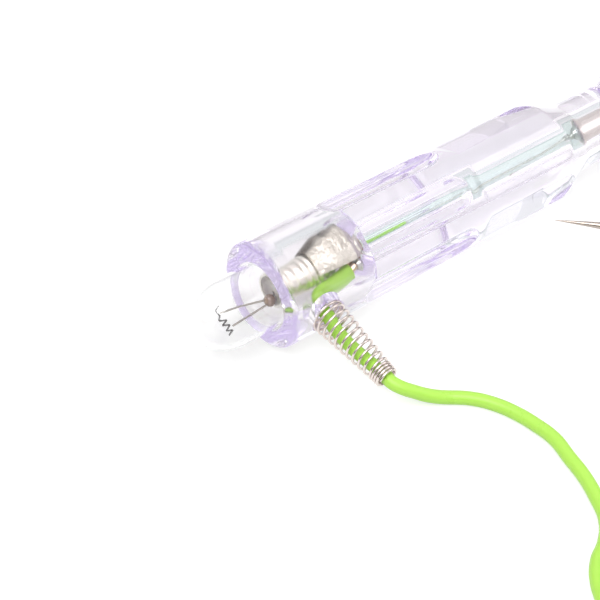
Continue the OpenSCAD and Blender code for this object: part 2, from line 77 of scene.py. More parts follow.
def seen_by(tree, kinds):
    """1 for rays of these kinds, by their names on Light Path, and 0 for the rest."""
    path = tree.nodes.new("ShaderNodeLightPath")
    total = None
    for kind in kinds:
        if total is None:
            total = path.outputs[kind]
            continue
        add = tree.nodes.new("ShaderNodeMath")
        add.operation = "ADD"
        add.use_clamp = True
        tree.links.new(total, add.inputs[0])
        tree.links.new(path.outputs[kind], add.inputs[1])
        total = add.outputs[0]
    return total


SHOWN = ("Is Camera Ray", "Is Glossy Ray", "Is Transmission Ray")


def far_side(height, stops):
    """Colours of the surroundings by how high a ray goes: 0 at the horizon, 1 straight up."""
    ramp = sky.nodes.new("ShaderNodeValToRGB")
    stripes = ramp.color_ramp.elements
    while len(stripes) < len(stops):
        stripes.new(1)
    for stripe, (place, colour) in zip(stripes, stops):
        stripe.position = place
        stripe.color = (*colour, 1)
    sky.links.new(height, ramp.inputs[0])
    return ramp.outputs[0]


def either(kinds, shown, other):
    """One colour, or white if it is None, for rays of these kinds, and the other for the rest."""
    choose = sky.nodes.new("ShaderNodeMix")
    choose.data_type = "RGBA"
    sky.links.new(seen_by(sky, kinds), choose.inputs[0])
    sky.links.new(other, choose.inputs[6])
    if shown is None:
        choose.inputs[7].default_value = (1, 1, 1, 1)
    else:
        sky.links.new(shown, choose.inputs[7])
    return choose.outputs[2]


# In the plastic the dark side is higher towards +X and +Y, behind the tester
DARK_LEAN, DARK_RISE = (-0.30, -0.74, 1), 0.80
direction = sky.nodes.new("ShaderNodeTexCoord")
heading = sky.nodes.new("ShaderNodeSeparateXYZ")
sky.links.new(direction.outputs["Generated"], heading.inputs[0])
facing = sky.nodes.new("ShaderNodeVectorMath")
facing.operation = "DOT_PRODUCT"
facing.inputs[1].default_value = DARK_LEAN
sky.links.new(direction.outputs["Generated"], facing.inputs[0])
raised = sky.nodes.new("ShaderNodeMath")
raised.inputs[1].default_value = DARK_RISE
sky.links.new(facing.outputs["Value"], raised.inputs[0])
in_metal = far_side(heading.outputs["Z"], (
    (0.0, (0.13, 0.10, 0.09)), (0.28, (0.24, 0.19, 0.17)),
    (0.42, (0.80, 0.76, 0.74)), (0.60, (1, 1, 1)),
))
in_plastic = far_side(raised.outputs[0], (
    (0.0, (0.60, 0.58, 0.64)), (0.06, (0.52, 0.61, 0.58)), (0.12, (0.90, 0.93, 0.93)),
    (0.45, (0.82, 0.89, 0.87)), (0.85, (1, 1, 1)),
))
light = sky.nodes.new("ShaderNodeBackground")
light.inputs["Strength"].default_value = SKY_LIGHT
white = sky.nodes.new("ShaderNodeBackground")
shiny = either(("Is Transmission Ray",), in_plastic, in_metal)
sky.links.new(either(("Is Camera Ray",), None, shiny), white.inputs["Color"])
pick = sky.nodes.new("ShaderNodeMixShader")
sky.links.new(seen_by(sky, SHOWN), pick.inputs[0])
sky.links.new(light.outputs[0], pick.inputs[1])
sky.links.new(white.outputs[0], pick.inputs[2])
sky.links.new(pick.outputs[0], sky.nodes.new("ShaderNodeOutputWorld").inputs[0])

# The paper is grey enough to keep the object's shadow, and its glow brings it back to white
# for the rays that show it, a little less so through the plastic
PAPER_GREY, GLOW_THROUGH_PLASTIC = (0.62, 0.62, 0.62, 1), -0.09
bm = bmesh.new()
bmesh.ops.create_grid(bm, x_segments=8, y_segments=8, size=1.2)
bmesh.ops.translate(bm, verts=bm.verts, vec=(0, 0, FLOOR_Z))
floor_mesh = bpy.data.meshes.new("floor")
bm.to_mesh(floor_mesh)
bm.free()
floor = bpy.data.objects.new("floor", floor_mesh)
scene.collection.objects.link(floor)
paper = bpy.data.materials.new("white_paper")
paper.use_nodes = True
paper_tree = paper.node_tree
paper_tree.nodes.clear()
matte = paper_tree.nodes.new("ShaderNodeBsdfDiffuse")
matte.inputs["Color"].default_value = PAPER_GREY
glow = paper_tree.nodes.new("ShaderNodeEmission")
glow.inputs["Color"].default_value = PAPER_GREY
strength = paper_tree.nodes.new("ShaderNodeMath")
strength.operation = "MULTIPLY_ADD"
strength.inputs[1].default_value = GLOW_THROUGH_PLASTIC
paper_tree.links.new(seen_by(paper_tree, ("Is Transmission Ray",)), strength.inputs[0])
paper_tree.links.new(seen_by(paper_tree, SHOWN), strength.inputs[2])
paper_tree.links.new(strength.outputs[0], glow.inputs["Strength"])
lit_and_glowing = paper_tree.nodes.new("ShaderNodeAddShader")
paper_tree.links.new(matte.outputs[0], lit_and_glowing.inputs[0])
paper_tree.links.new(glow.outputs[0], lit_and_glowing.inputs[1])
paper_out = paper_tree.nodes.new("ShaderNodeOutputMaterial")
paper_tree.links.new(lit_and_glowing.outputs[0], paper_out.inputs[0])
floor_mesh.materials.append(paper)

for name, place, size, power in (
    ("key", (-0.35, -0.15, 0.6), 0.45, 2.6),
    ("fill", (0.45, -0.4, 0.4), 0.4, 0.9),
):
    lamp = bpy.data.lights.new(name, "AREA")
    lamp.size = size
    lamp.energy = power
    softbox = bpy.data.objects.new(name, lamp)
    softbox.location = place
    aim = VIEW_AIM - Vector(place)
    softbox.rotation_euler = aim.to_track_quat("-Z", "Y").to_euler()
    scene.collection.objects.link(softbox)

# Free lead: soft yellow-green PVC wire, 2 mm thick. It leaves the spring, runs out of the
# photograph, lies there in a coil of seven turns and comes back to its needle probe.
HANDLE_LEN, LEAD_D = 92.0, 2.0
# The lead's hole: from the rear face, its angle below level, and from the axis to the spring's tip
HOLE_AT, HOLE_DROOP, SPRING_TIP = 6.2, math.radians(12.5), 21.045
# Places on the surface: from the rear face, sideways from the axis, and up from the surface
LEAD_ROUTE = [
    (6.2, -21.2, 3.5), (6.8, -22.6, 3.1), (8, -23.8, 2.5), (10, -25.2, 1.5), (12.5, -27, 1),
    (14.5, -29, 1), (16, -31.5, 1), (17, -34.5, 1), (17.5, -38, 1), (17.5, -41.5, 1),
    (16.5, -45, 1), (15.5, -48.5, 1), (14, -52, 1), (12, -55.5, 1), (9, -58, 1),
    (6, -59.5, 1), (3.8, -61.5, 1), (2.1, -64, 1), (0.9, -66.6, 1),
]
TAIL_ROUTE = [
    (12, -94.1, 1), (17.5, -94, 1), (24, -93, 1), (31, -90.8, 1), (38, -87.8, 1),
    (45, -84.5, 1), (53, -81.2, 1), (62, -78.5, 1), (71, -76, 1), (79, -72.5, 1),
    (85, -68, 1), (88.5, -62.5, 1.2), (88.5, -57, 1.8), (86.8, -52.8, 2.3),
]
COIL_X, COIL_Y = 12, -78
COIL_START, COIL_SWEEP, COIL_STEP = 162.5, 2600, 20
# Sweep in degrees, then the distance from the coil's middle and the height of its turns
COIL_TURNS = [
    (0, 14, 1), (280, 14, 1), (320, 12, 1), (600, 12, 1), (640, 10, 1), (920, 10, 1),
    (960, 10, 3), (1240, 10, 3), (1280, 12, 3), (1560, 12, 3), (1600, 14, 3),
    (1880, 14, 3), (1895, 13.9, 4.1), (1912, 13.2, 4.75), (1935, 12, 5), (2200, 12, 5),
    (2240, 14, 5), (2525, 14, 5), (2555, 15.4, 4.4), (2585, 16.1, 3), (2615, 16.1, 1),
]
NEEDLE_X, NEEDLE_Y = 51.4, -8.9
NEEDLE_YAW = math.radians(-51)
NEEDLE_GRIP_R, GRIP_END = 2.5, 52.0
END_GAP = 0.02


def from_hole(x, y, z):
    """A place beside the lead hole's line, in millimetres: along the handle, up, outwards."""
    c, s = math.cos(HOLE_DROOP), math.sin(HOLE_DROOP)
    return Vector((HOLE_AT - HANDLE_LEN + x, -z * c - y * s, -z * s + y * c))


def above(x, y, z):
    """A place over the surface, in millimetres: from the rear face, sideways and up."""
    return Vector((x - HANDLE_LEN, y, FLOOR_Z / MM + z))


def on_needle(distance):
    """A place on the needle probe's axis, this far behind its point."""
    along = distance * Vector((math.cos(NEEDLE_YAW), math.sin(NEEDLE_YAW), 0))
    return above(NEEDLE_X, NEEDLE_Y, NEEDLE_GRIP_R) + along


def coil_point(sweep):
    """A place in the coil, this many degrees after its start."""
    for (a, r0, z0), (b, r1, z1) in zip(COIL_TURNS, COIL_TURNS[1:]):
        if sweep <= b:
            break
    f = min(1, (sweep - a) / (b - a))
    r = r0 + f * (r1 - r0)
    angle = math.radians(COIL_START + sweep)
    z = z0 + f * (z1 - z0)
    return above(COIL_X + r * math.cos(angle), COIL_Y + r * math.sin(angle), z)


def wire(name, points, radius, sides=4, smooth=True, steps=6, lowest=None):
    """A round wire through these points, in millimetres, as a curve with closed ends.

    It runs level through its points at the lowest height, so that it never dips under it.
    """
    curve = bpy.data.curves.new(name, "CURVE")
    curve.dimensions = "3D"
    curve.bevel_depth = radius * MM
    curve.bevel_resolution = sides
    curve.use_fill_caps = True
    curve.resolution_u = steps
    spline = curve.splines.new("BEZIER" if smooth else "POLY")
    if smooth:
        spline.bezier_points.add(len(points) - 1)
        for knot, point in zip(spline.bezier_points, points):
            knot.co = point * MM
            knot.handle_left_type = knot.handle_right_type = "AUTO"
        curve.update_tag()
        bpy.context.view_layer.update()
        for knot in spline.bezier_points:
            if lowest is not None and knot.co.z < (lowest + 0.001) * MM:
                knot.handle_left_type = knot.handle_right_type = "FREE"
                knot.handle_left.z = knot.handle_right.z = knot.co.z
    else:
        spline.points.add(len(points) - 1)
        for knot, point in zip(spline.points, points):
            knot.co = (*(point * MM), 1)
        spline.use_smooth = True
    piece = bpy.data.objects.new(name, curve)
    scene.collection.objects.link(piece)
    return piece


def finish(
    name, colour, rough, metal=0.0, vary=0.08, grain=900.0, bump=0.05, relief=0.05, **sockets
):
    """A finish whose colour, roughness and surface all vary finely, at grain per metre.

    Its relief is in millimetres, and each further value is set on the socket of that name.
    """
    material = bpy.data.materials.new(name)
    material.use_nodes = True
    tree = material.node_tree
    shader = tree.nodes["Principled BSDF"]
    place = tree.nodes.new("ShaderNodeTexCoord")
    noise = tree.nodes.new("ShaderNodeTexNoise")
    noise.inputs["Scale"].default_value = grain
    noise.inputs["Detail"].default_value = 5
    tree.links.new(place.outputs["Object"], noise.inputs["Vector"])
    tint = tree.nodes.new("ShaderNodeMix")
    tint.data_type = "RGBA"
    tint.inputs[6].default_value = (*(c * (1 - vary) for c in colour), 1)
    tint.inputs[7].default_value = (*(min(1, c * (1 + vary)) for c in colour), 1)
    tree.links.new(noise.outputs["Fac"], tint.inputs[0])
    tree.links.new(tint.outputs[2], shader.inputs["Base Color"])
    spread = tree.nodes.new("ShaderNodeMapRange")
    spread.inputs["From Min"].default_value = 0.3
    spread.inputs["From Max"].default_value = 0.7
    spread.inputs["To Min"].default_value = rough * 0.75
    spread.inputs["To Max"].default_value = min(1, rough * 1.25)
    tree.links.new(noise.outputs["Fac"], spread.inputs["Value"])
    tree.links.new(spread.outputs[0], shader.inputs["Roughness"])
    lift = tree.nodes.new("ShaderNodeBump")
    lift.inputs["Strength"].default_value = bump
    lift.inputs["Distance"].default_value = relief * MM
    tree.links.new(noise.outputs["Fac"], lift.inputs["Height"])
    tree.links.new(lift.outputs[0], shader.inputs["Normal"])
    shader.inputs["Metallic"].default_value = metal
    for socket, value in sockets.items():
        shader.inputs[socket.replace("_", " ")].default_value = value
    return material


def settle(piece, material, slot, *nodes):
    """Gives a new piece its finish, and puts it on the body in place of its CAD nodes."""
    piece.data.materials.append(material)
    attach(piece, "root")
    if nodes:
        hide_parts(*nodes)
    return piece


pvc = finish(
    "green_pvc", (0.54, 0.97, 0.13), 0.34, vary=0.03, grain=500, bump=0.02,
    Subsurface_Weight=0.12, Subsurface_Radius=(0.0012, 0.0016, 0.0004), Subsurface_Scale=1.0,
)
lead_points = [from_hole(0, 0, SPRING_TIP + END_GAP)] + [above(*spot) for spot in LEAD_ROUTE]
lead_points += [coil_point(sweep) for sweep in range(0, COIL_SWEEP, COIL_STEP)]
lead_points += [above(*spot) for spot in TAIL_ROUTE]
lead_points += [on_needle(GRIP_END + 1.5), on_needle(GRIP_END + END_GAP)]
lead = wire("free_lead", lead_points, LEAD_D / 2, sides=5, lowest=FLOOR_Z / MM + LEAD_D / 2)
settle(lead, pvc, "green_pvc", "lead", "lead_coil", "lead_tail")

# Handle: one clear moulding, polished, with the faint lavender of its plastic. Six flutes
# with run-out ends and six flats are sunk into it, and its bore is stepped for the lamp.
GRIP_R = 8.2
FLUTE_START, FLUTE_END = 13.1, 35.5
FLUTE_R, FLUTE_DEPTH = 4.0, 1.3
FLAT_START, FLAT_RUN_IN, FLAT_DEPTH = 36.4, 1.6, 0.5
TAPER_START, NECK_START, NECK_R = 56.0, 61.8, 5.7
FLARE_START, GUARD_START, GUARD_END = 70.8, 79.5, 81.1
NOSE_R, REAR_EDGE, NOSE_EDGE, SOFT_EDGE = 4.0, 0.8, 0.6, 0.16


def span(first, last, step):
    """Even places from the first up to the last, which is left out, about a step apart."""
    count = max(1, round(abs(last - first) / step))
    return [first + (last - first) * k / count for k in range(count)]


def arc(cx, cy, rx, ry, first, last, steps):
    """Points of an ellipse's arc, each as (station, radius) for a turned outline."""
    angles = [math.radians(first + (last - first) * k / steps) for k in range(steps + 1)]
    return [(cy + ry * math.sin(a), cx + rx * math.cos(a)) for a in angles]


def spun(outline, steps, closed=False):
    """Spins an outline of (station, radius) about the handle's axis into a bmesh."""
    bm = bmesh.new()
    line = [bm.verts.new(((s - HANDLE_LEN) * MM, 0, r * MM)) for s, r in outline]
    ends = line[1:] + line[:1] if closed else line[1:]
    edges = [bm.edges.new(pair) for pair in zip(line, ends)]
    bmesh.ops.spin(
        bm, geom=line + edges, cent=(0, 0, 0), axis=(1, 0, 0), angle=2 * math.pi,
        steps=steps, use_merge=True,
    )
    bmesh.ops.remove_doubles(bm, verts=bm.verts, dist=1e-7)
    bmesh.ops.recalc_face_normals(bm, faces=bm.faces)
    return bm


def piece_from(name, bm, sharp=40):
    """A smooth-shaded object from a bmesh, with edges past this angle kept crisp."""
    mesh = bpy.data.meshes.new(name)
    bm.to_mesh(mesh)
    bm.free()
    mesh.shade_smooth()
    mesh.set_sharp_from_angle(angle=math.radians(sharp))
    piece = bpy.data.objects.new(name, mesh)
    scene.collection.objects.link(piece)
    return piece


def soft_min(a, b, k):
    """The smaller of two values, rounded over where they come closer than k."""
    h = min(1, max(0, 0.5 + 0.5 * (b - a) / k))
    return b + h * (a - b) - k * h * (1 - h)


def sunk_radius(s, angle):
    """How far from the axis the flutes and flats leave the surface, at this place."""
    sixth = math.radians(60)
    off = (angle - HOLE_DROOP + sixth / 2) % sixth - sixth / 2
    found = 99.0
    run_out = math.sqrt(FLUTE_R ** 2 - (FLUTE_R - FLUTE_DEPTH) ** 2)
    first, last = FLUTE_START + run_out, FLUTE_END - run_out
    beyond = max(first - s, s - last, 0)
    if beyond < FLUTE_R:
        reach = GRIP_R - FLUTE_DEPTH + FLUTE_R
        inside = FLUTE_R ** 2 - beyond ** 2 - (reach * math.sin(off)) ** 2
        if inside > 0:
            found = reach * math.cos(off) - math.sqrt(inside)
    if s > FLAT_START:
        rise = max(0, 1 - (s - FLAT_START) / FLAT_RUN_IN)
        found = min(found, (GRIP_R - FLAT_DEPTH + rise * (FLAT_DEPTH + 0.1)) / math.cos(off))
    return found


BORE_R, BORE_LEN = 4.8, 16.6
MOUTH_R, MOUTH_EDGE, MOUTH_END, MOUTH_TAPER_END = 5.25, 0.4, 1.2, 4.0
CHANNEL_R = 1.95
# The outline has close points where the flutes and flats start and end, and few elsewhere
outside = (
    arc(GRIP_R - REAR_EDGE, REAR_EDGE, REAR_EDGE, REAR_EDGE, -90, 0, 6)
    + [(s, GRIP_R) for s in span(2, FLUTE_START - 0.5, 1.5)]
    + [(s, GRIP_R) for s in span(FLUTE_START - 0.5, 17.5, 0.18)]
    + [(s, GRIP_R) for s in span(17.5, 31, 1.0)]
    + [(s, GRIP_R) for s in span(31, FLAT_START + 2, 0.18)]
    + [(s, GRIP_R) for s in span(FLAT_START + 2, TAPER_START - 0.3, 1.2)]
    + [(TAPER_START - 0.3, GRIP_R), (TAPER_START, GRIP_R - 0.04), (TAPER_START + 0.3, GRIP_R - 0.14)]
    + [(s, GRIP_R - (s - TAPER_START) * (GRIP_R - NECK_R - 0.1) / (NECK_START - TAPER_START))
       for s in span(TAPER_START + 0.6, NECK_START - 0.5, 0.25)]
    + [(NECK_START - 0.4, NECK_R + 0.23), (NECK_START, NECK_R + 0.1), (NECK_START + 0.5, NECK_R + 0.07)]
    + [(s, NECK_R + 0.07 - (s - NECK_START - 0.5) * 0.008)
       for s in span(NECK_START + 1.2, FLARE_START, 1.5)]
    + arc(GRIP_R, FLARE_START, GRIP_R - NECK_R, GUARD_START - FLARE_START, 172, 105, 12)
    + [(GUARD_START, GRIP_R - 0.1), (GUARD_START + 0.3, GRIP_R), (GUARD_START + 0.8, GRIP_R)]
    + [(GUARD_END - 0.3, GRIP_R - 0.4), (GUARD_END, GRIP_R - 0.9)]
    + [(GUARD_END + 1.2, NOSE_R + 0.7), (GUARD_END + 1.9, NOSE_R + 0.5)]
    + [(HANDLE_LEN - NOSE_EDGE, NOSE_R)]
    + arc(NOSE_R - NOSE_EDGE, HANDLE_LEN - NOSE_EDGE, NOSE_EDGE, NOSE_EDGE, 0, 90, 4)
)
inside = (
    [(HANDLE_LEN, CHANNEL_R + 0.15), (HANDLE_LEN - 0.15, CHANNEL_R)]
    + [(s, CHANNEL_R) for s in span(HANDLE_LEN - 0.4, BORE_LEN + 0.8, 3.5)]
    + [(BORE_LEN + 0.6, CHANNEL_R), (BORE_LEN + 0.3, CHANNEL_R), (BORE_LEN + 0.1, CHANNEL_R)]
    + [(BORE_LEN, CHANNEL_R + 0.1), (BORE_LEN, BORE_R - 0.25)]
    + [(BORE_LEN - 0.08, BORE_R - 0.08), (BORE_LEN - 0.25, BORE_R)]
    + [(s, BORE_R) for s in span(BORE_LEN - 0.7, MOUTH_TAPER_END + 0.6, 1.6)]
    + [(MOUTH_TAPER_END + 0.6, BORE_R), (MOUTH_TAPER_END + 0.3, BORE_R)]
    + [(MOUTH_TAPER_END, BORE_R + 0.01), (MOUTH_TAPER_END - 0.4, BORE_R + 0.07)]
    + [(MOUTH_END + 0.4, MOUTH_R - 0.07), (MOUTH_END, MOUTH_R - 0.01)]
    + arc(MOUTH_R + MOUTH_EDGE, MOUTH_EDGE, MOUTH_EDGE, MOUTH_EDGE, 180, 270, 5)
)
bm = spun(outside + inside, 288, closed=True)
for vert in bm.verts:
    s = vert.co.x / MM + HANDLE_LEN
    r = math.hypot(vert.co.y, vert.co.z) / MM
    if r > NECK_R - 0.1 and FLUTE_START - 0.6 < s < NECK_START + 0.5:
        droop = math.atan2(-vert.co.z, -vert.co.y)
        new = soft_min(r, sunk_radius(s, droop), SOFT_EDGE)
        vert.co.y *= new / r
        vert.co.z *= new / r
handle = piece_from("clear_handle", bm, sharp=50)


def drilled(piece, radius, first, last, segments=64):
    """Cuts a round hole along the lead hole's line, from first to last off the axis."""
    bm = bmesh.new()
    bmesh.ops.create_cone(
        bm, cap_ends=True, segments=segments, radius1=radius * MM, radius2=radius * MM,
        depth=(last - first) * MM,
    )
    along = from_hole(0, 0, 1) - from_hole(0, 0, 0)
    turn = Vector((0, 0, 1)).rotation_difference(along).to_matrix().to_4x4()
    middle = from_hole(0, 0, (first + last) / 2) * MM
    bmesh.ops.transform(bm, matrix=Matrix.Translation(middle) @ turn, verts=bm.verts)
    cutter = piece_from("drill", bm)
    boolean = piece.modifiers.new("drill", "BOOLEAN")
    boolean.operation = "DIFFERENCE"
    boolean.solver = "EXACT"
    boolean.object = cutter
    bpy.context.view_layer.update()
    drilled_piece = piece.evaluated_get(bpy.context.evaluated_depsgraph_get())
    cut = bpy.data.meshes.new_from_object(drilled_piece)
    piece.modifiers.clear()
    piece.data = cut
    bpy.data.objects.remove(cutter)


LEAD_HOLE_R, SEAT_R, SEAT_FLOOR = 1.35, 2.9, 5.75
drilled(handle, LEAD_HOLE_R, BORE_R - 1.2, SEAT_FLOOR + 0.45)
drilled(handle, SEAT_R, SEAT_FLOOR, GRIP_R + 1.8)
handle.data.set_sharp_from_angle(angle=math.radians(50))


def clear(name, ior, tint=(1, 1, 1), absorb=None, density=0.0):
    """Clear plastic or glass, tinted at its surface, and through its thickness if it absorbs."""
    material = bpy.data.materials.new(name)
    material.use_nodes = True
    tree = material.node_tree
    shader = tree.nodes["Principled BSDF"]
    shader.inputs["Base Color"].default_value = (*tint, 1)
    shader.inputs["Roughness"].default_value = 0
    shader.inputs["IOR"].default_value = ior
    shader.inputs["Transmission Weight"].default_value = 1
    if absorb:
        volume = tree.nodes.new("ShaderNodeVolumeAbsorption")
        volume.inputs["Color"].default_value = (*absorb, 1)
        volume.inputs["Density"].default_value = density
        tree.links.new(volume.outputs[0], tree.nodes["Material Output"].inputs["Volume"])
    return material


def where_below(tree, *limits):
    """1 where each of these values is below its limit in millimetres, and 0 elsewhere."""
    total = None
    for value, limit in limits:
        below = tree.nodes.new("ShaderNodeMath")
        below.operation = "LESS_THAN"
        below.inputs[1].default_value = limit * MM
        tree.links.new(value, below.inputs[0])
        if total is None:
            total = below.outputs[0]
            continue
        each = tree.nodes.new("ShaderNodeMath")
        each.operation = "MULTIPLY"
        tree.links.new(total, each.inputs[0])
        tree.links.new(below.outputs[0], each.inputs[1])
        total = each.outputs[0]
    return total


# The lamp's bore is left matt, and the plastic round the channel up to the probe's tail is tinted teal
# grey, a painted shade for the shadowed surroundings seen through the channel
PLASTIC_TINT, CHANNEL_PAINTED_SHADE = (0.972, 0.957, 0.965), (0.72, 0.84, 0.80)
BORE_ROUGH, PROBE_TAIL = 0.17, 62.0
acrylic = clear("clear_plastic", 1.49, PLASTIC_TINT, (0.38, 0.17, 0.72), 7.8)
plastic_tree = acrylic.node_tree
surface = plastic_tree.nodes["Principled BSDF"]
spot = plastic_tree.nodes.new("ShaderNodeTexCoord")
along = plastic_tree.nodes.new("ShaderNodeSeparateXYZ")
plastic_tree.links.new(spot.outputs["Object"], along.inputs[0])
crosswise = plastic_tree.nodes.new("ShaderNodeVectorMath")
crosswise.operation = "MULTIPLY"
crosswise.inputs[1].default_value = (0, 1, 1)
plastic_tree.links.new(spot.outputs["Object"], crosswise.inputs[0])
off_axis = plastic_tree.nodes.new("ShaderNodeVectorMath")
off_axis.operation = "LENGTH"
plastic_tree.links.new(crosswise.outputs[0], off_axis.inputs[0])
in_bore = where_below(
    plastic_tree, (along.outputs["X"], BORE_LEN + 0.3 - HANDLE_LEN),
    (off_axis.outputs["Value"], MOUTH_R + 0.4),
)
in_channel = where_below(
    plastic_tree, (along.outputs["X"], PROBE_TAIL - HANDLE_LEN),
    (off_axis.outputs["Value"], CHANNEL_R + 0.3),
)
matt = plastic_tree.nodes.new("ShaderNodeMath")
matt.operation = "MULTIPLY"
matt.inputs[1].default_value = BORE_ROUGH
plastic_tree.links.new(in_bore, matt.inputs[0])
plastic_tree.links.new(matt.outputs[0], surface.inputs["Roughness"])
# Mixes the teal grey painted shade into the plastic's colour round the channel
channel_shade_mix = plastic_tree.nodes.new("ShaderNodeMix")
channel_shade_mix.data_type = "RGBA"
channel_shade_mix.inputs[6].default_value = (*PLASTIC_TINT, 1)
channel_shade_mix.inputs[7].default_value = (*CHANNEL_PAINTED_SHADE, 1)
plastic_tree.links.new(in_channel, channel_shade_mix.inputs[0])
plastic_tree.links.new(channel_shade_mix.outputs[2], surface.inputs["Base Color"])
settle(handle, acrylic, "clear_plastic", "handle")

# Lamp envelope: thin blown glass with a round end, open inside, its neck cemented in the
# cap. A flat press closes the neck where the wires go through.
GLASS_R, GLASS_WALL = 5.05, 0.45
GLASS_BACK, DOME_LEN = -11.5, 6.0
CAP_START, GLASS_NECK_R = 2.1, 2.25
SHOULDER = CAP_START - 1.5
GLASS_END, PRESS_LEN = CAP_START + 1.7, 1.5


def envelope(shrink, back, end):
    """The glass's outline, drawn in by this much, from its round end to its neck."""
    wide, narrow = GLASS_R - shrink, GLASS_NECK_R - shrink
    dome = GLASS_BACK + DOME_LEN
    rear = arc(0, dome, wide, dome - back, -90, 0, 24)
    rear[0] = (back, 0)
    shoulder = arc(wide - 1.2, SHOULDER - shrink / 2, 1.2, 0.9, 0, 90, 8)
    foot = [(SHOULDER + 1.3, narrow + 0.3), (SHOULDER + 1.6, narrow), (end, narrow), (end, 0)]
    return rear + shoulder + foot


bm = spun(envelope(0, GLASS_BACK, GLASS_END), 96)
hollow = spun(envelope(GLASS_WALL, GLASS_BACK + GLASS_WALL, GLASS_END - PRESS_LEN), 96)
bmesh.ops.reverse_faces(hollow, faces=hollow.faces)
hollow_mesh = bpy.data.meshes.new("hollow")
hollow.to_mesh(hollow_mesh)
hollow.free()
bm.from_mesh(hollow_mesh)
bpy.data.meshes.remove(hollow_mesh)
bulb = piece_from("lamp_envelope", bm)
settle(bulb, clear("lamp_glass", 1.5), "lamp_glass", "lamp_glass")

# Inside the lamp: a brown fused bead holds two steel wires, and the filament, a finely
# coiled wire, zigzags between their ends.
BEAD_MID, BEAD_DROP, POST_R = CAP_START - 0.95, 1.1, 0.15
LAMP_TURN = math.radians(42)
WINDING_R, WINDING_PITCH, FILAMENT_R = 0.09, 0.16, 0.055
# The filament's corners: distance behind the rear face, then across the lamp
FILAMENT = [
    (6.1, -1.5), (7, -1.1), (6.75, -0.2), (7.3, 0.4), (6.2, 0.8), (7.2, 1.2), (6.15, 1.6),
    (7.1, 2.1), (6.2, 2.4), (7.1, 2.8),
]


def in_lamp(s, across, depth=0.0):
    """A place in the plane of the lamp's wires: station, then across it, then out of it."""
    c, d = math.cos(LAMP_TURN), math.sin(LAMP_TURN)
    return Vector((s - HANDLE_LEN, -across * c - depth * d, -across * d + depth * c))


dark_wire = finish("support_wire", (0.46, 0.42, 0.39), 0.35, metal=0.9, grain=3000)
for name, hand, far in (
    ("upper", -1, [(-3.6, -0.1), (-6.6, -0.5)]),
    ("lower", 1, [(-5.8, 1.9)]),
):
    at_press, at_bead = hand * 0.4, hand * 0.4 + BEAD_DROP
    post = wire(name + "_support", [
        in_lamp(GLASS_END - 0.1, at_press), in_lamp(GLASS_END - 1.05, at_press),
        in_lamp(BEAD_MID + 0.95, at_bead), in_lamp(BEAD_MID, at_bead),
        in_lamp(BEAD_MID - 1.05, at_bead), *(in_lamp(s, across) for s, across in far),
    ], POST_R, smooth=False)
    settle(post, dark_wire, "support_wire", "support_wire_" + name)
zigzag = [in_lamp(-s, across, 0.12 * (across - 0.9)) for s, across in FILAMENT]
fine = []
turned = 0.0
for a, b in zip(zigzag, zigzag[1:]):
    run = (b - a).length
    upright = (b - a).normalized().orthogonal().normalized()
    level = (b - a).normalized().cross(upright)
    count = max(2, round(run / WINDING_PITCH * 8))
    for k in range(count):
        turned += run / count / WINDING_PITCH * 2 * math.pi
        offset = WINDING_R * (math.cos(turned) * upright + math.sin(turned) * level)
        fine.append(a.lerp(b, k / count) + offset)
filament = wire("filament_coil", fine, FILAMENT_R, sides=1, smooth=False)
tungsten = finish("filament", (0.10, 0.09, 0.09), 0.4, metal=0.8, grain=5000)
settle(filament, tungsten, "filament", "filament")


def dress(material, *nodes):
    """Gives CAD nodes that keep their shape a finish, in place of the plain one."""
    for node in nodes:
        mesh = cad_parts[node].data
        mesh.materials.clear()
        mesh.materials.append(material)


bead_glass = finish(
    "bead_glass", (0.36, 0.25, 0.18), 0.2, vary=0.4, grain=1500, bump=0.1, Coat_Weight=0.6,
)
dress(bead_glass, "lamp_bead")

# Lamp cap: thin nickelled brass with a rolled screw thread, closed by a black insulator
# and the soldered centre contact. Pale basing cement holds the glass in it.
CAP_R, CAP_END = 2.7, 11.7
THREAD_PITCH, THREAD_DEPTH, PLAIN_END, THREAD_FADE = 1.0, 0.17, CAP_START + 0.95, 0.6
nickel = finish(
    "nickel", (0.95, 0.91, 0.83), 0.38, metal=1.0, vary=0.05, grain=1200, bump=0.8, relief=0.2,
)
cap_outline = (
    [(CAP_START, 2.32), (CAP_START, CAP_R), (CAP_START + 0.5, CAP_R), (CAP_START + 0.9, CAP_R)]
    + [(s, CAP_R) for s in span(CAP_START + 1.0, CAP_END - 0.7, 0.1)]
    + [(CAP_END - 0.6, CAP_R - 0.1), (CAP_END - 0.3, CAP_R - 0.25), (CAP_END, CAP_R - 0.6)]
    + [(CAP_END, 1.9), (CAP_END - 0.6, 2.3)]
)
bm = spun(cap_outline, 96, closed=True)
for vert in bm.verts:
    s = vert.co.x / MM + HANDLE_LEN
    r = math.hypot(vert.co.y, vert.co.z) / MM
    if r > CAP_R - 0.05 and s > PLAIN_END:
        angle = math.atan2(vert.co.z, vert.co.y)
        phase = 2 * math.pi * (s - CAP_START - 1.3) / THREAD_PITCH - angle
        fade_in = min(1, max(0, (s - PLAIN_END) / THREAD_FADE))
        fade_out = min(1, max(0, (CAP_END - 0.7 - s) / THREAD_FADE))
        deep = THREAD_DEPTH * (0.5 - 0.5 * math.cos(phase))
        new = CAP_R - 0.02 - deep * fade_in * fade_out - 0.08 * (1 - fade_in * fade_out)
        vert.co.y *= new / r
        vert.co.z *= new / r
cap = piece_from("screw_cap", bm, sharp=60)
settle(cap, nickel, "nickel", "lamp_cap")
